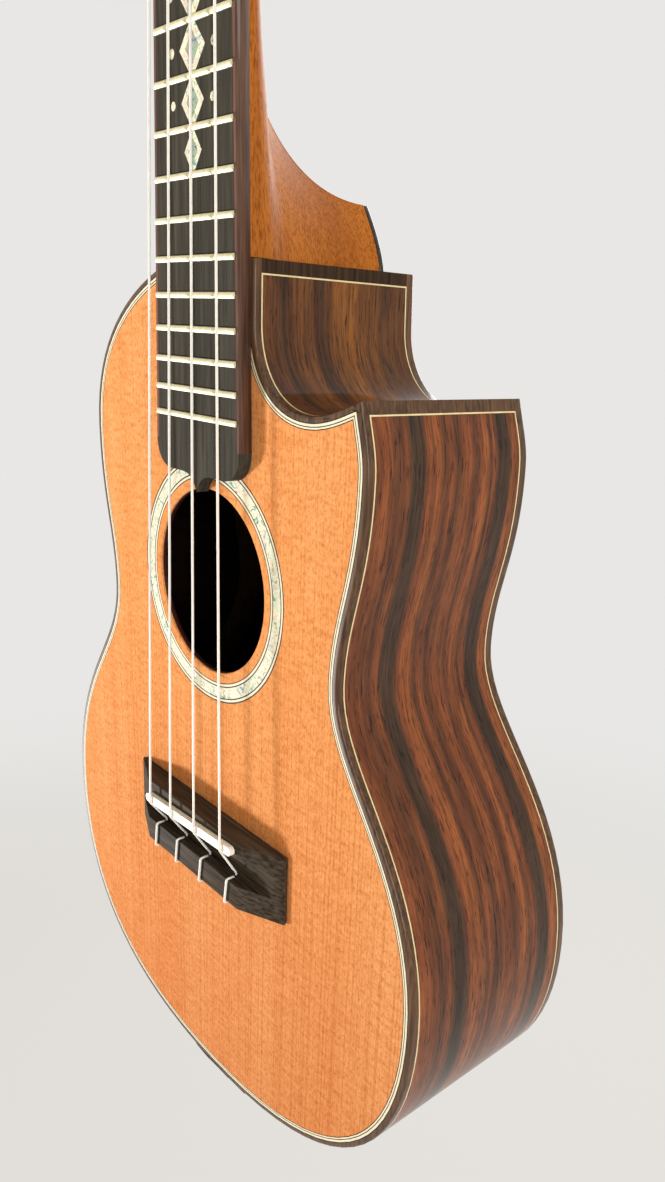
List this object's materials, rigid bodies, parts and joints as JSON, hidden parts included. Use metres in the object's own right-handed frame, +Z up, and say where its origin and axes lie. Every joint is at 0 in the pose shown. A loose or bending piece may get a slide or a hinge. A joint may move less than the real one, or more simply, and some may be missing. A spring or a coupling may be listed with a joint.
{
  "type": "tenor ukulele",
  "caption": "Four-string tenor ukulele with a pointed cutaway, tilted headstock, geared tuners, fretted neck, tie bridge and a hollow body built from separate plates and bent sides.",
  "frame": {"origin": "centre line at the nut's front edge, on the plane of the soundboard's face, where a wall hanger's yoke holds the neck under the headstock", "axes": "+Z up the neck towards the headstock, -Y out of the soundboard to the player's front, +X to the treble side with the cutaway"},
  "size_m": [0.224, 0.091, 0.6596],
  "materials": {
    "cedar": "gloss lacquer",
    "rosewood": "gloss lacquer",
    "dark_binding": "gloss lacquer",
    "mahogany": "satin lacquer",
    "ebony": "oiled",
    "spruce": "bare",
    "shell": "polished shell",
    "bone": "polished",
    "string": "smooth",
    "fret_metal": "polished",
    "tuner_metal": "polished",
    "button_plastic": "polished"
  },
  "bodies": {
    "body": {"soundboard": "cedar", "back_plate": "rosewood", "bass_side": "rosewood", "treble_side": "rosewood", "cutaway_side": "rosewood", "top_binding": "dark_binding", "back_binding": "dark_binding", "head_block": "mahogany", "tail_block": "mahogany", "top_lining": "spruce", "back_lining": "spruce", "upper_brace": "spruce", "lower_brace": "spruce", "fan_brace_bass": "spruce", "fan_brace_treble": "spruce", "bridge_plate": "rosewood", "back_brace": "spruce", "rosette": "shell", "neck": "mahogany", "heel_cap": "ebony", "headstock_veneer": "rosewood", "fretboard": "ebony", "nut": "bone", "saddle": "bone", "bridge": "ebony", "fret_01": "fret_metal", "fret_02": "fret_metal", "fret_03": "fret_metal", "fret_04": "fret_metal", "fret_05": "fret_metal", "fret_06": "fret_metal", "fret_07": "fret_metal", "fret_08": "fret_metal", "fret_09": "fret_metal", "fret_10": "fret_metal", "fret_11": "fret_metal", "fret_12": "fret_metal", "fret_13": "fret_metal", "fret_14": "fret_metal", "fret_15": "fret_metal", "fret_16": "fret_metal", "fret_17": "fret_metal", "fret_18": "fret_metal", "fret_19": "fret_metal", "string_1": "string", "tuner_1_plate": "tuner_metal", "string_2": "string", "tuner_2_plate": "tuner_metal", "string_3": "string", "tuner_3_plate": "tuner_metal", "string_4": "string", "tuner_4_plate": "tuner_metal"},
    "tuner_1_button": {"tuner_1_button": "button_plastic"},
    "tuner_1_post": {"tuner_1_post": "tuner_metal"},
    "tuner_2_button": {"tuner_2_button": "button_plastic"},
    "tuner_2_post": {"tuner_2_post": "tuner_metal"},
    "tuner_3_button": {"tuner_3_button": "button_plastic"},
    "tuner_3_post": {"tuner_3_post": "tuner_metal"},
    "tuner_4_button": {"tuner_4_button": "button_plastic"},
    "tuner_4_post": {"tuner_4_post": "tuner_metal"}
  },
  "joints": [
    {"name": "tuner_1_button_turn", "type": "hinge", "parent": "body", "child": "tuner_1_button", "pos_m": [0.017, 0.0229, 0.0267], "axis": [1, 0, 0], "continuous": true},
    {"name": "tuner_1_post_turn", "type": "hinge", "parent": "body", "child": "tuner_1_post", "pos_m": [0.017, 0.00742, 0.03745], "axis": [0, -0.9744, 0.225], "continuous": true},
    {"name": "tuner_2_button_turn", "type": "hinge", "parent": "body", "child": "tuner_2_button", "pos_m": [0.017, 0.03212, 0.06665], "axis": [1, 0, 0], "continuous": true},
    {"name": "tuner_2_post_turn", "type": "hinge", "parent": "body", "child": "tuner_2_post", "pos_m": [0.017, 0.01665, 0.0774], "axis": [0, -0.9744, 0.225], "continuous": true},
    {"name": "tuner_3_button_turn", "type": "hinge", "parent": "body", "child": "tuner_3_button", "pos_m": [-0.017, 0.03212, 0.06665], "axis": [1, 0, 0], "continuous": true},
    {"name": "tuner_3_post_turn", "type": "hinge", "parent": "body", "child": "tuner_3_post", "pos_m": [-0.017, 0.01665, 0.0774], "axis": [0, -0.9744, 0.225], "continuous": true},
    {"name": "tuner_4_button_turn", "type": "hinge", "parent": "body", "child": "tuner_4_button", "pos_m": [-0.017, 0.0229, 0.0267], "axis": [1, 0, 0], "continuous": true},
    {"name": "tuner_4_post_turn", "type": "hinge", "parent": "body", "child": "tuner_4_post", "pos_m": [-0.017, 0.00742, 0.03745], "axis": [0, -0.9744, 0.225], "continuous": true}
  ],
  "couplings": [
    {"joint": "tuner_1_post_turn", "follows": "tuner_1_button_turn", "ratio": -0.071429},
    {"joint": "tuner_2_post_turn", "follows": "tuner_2_button_turn", "ratio": -0.071429},
    {"joint": "tuner_3_post_turn", "follows": "tuner_3_button_turn", "ratio": -0.071429},
    {"joint": "tuner_4_post_turn", "follows": "tuner_4_button_turn", "ratio": -0.071429}
  ]
}
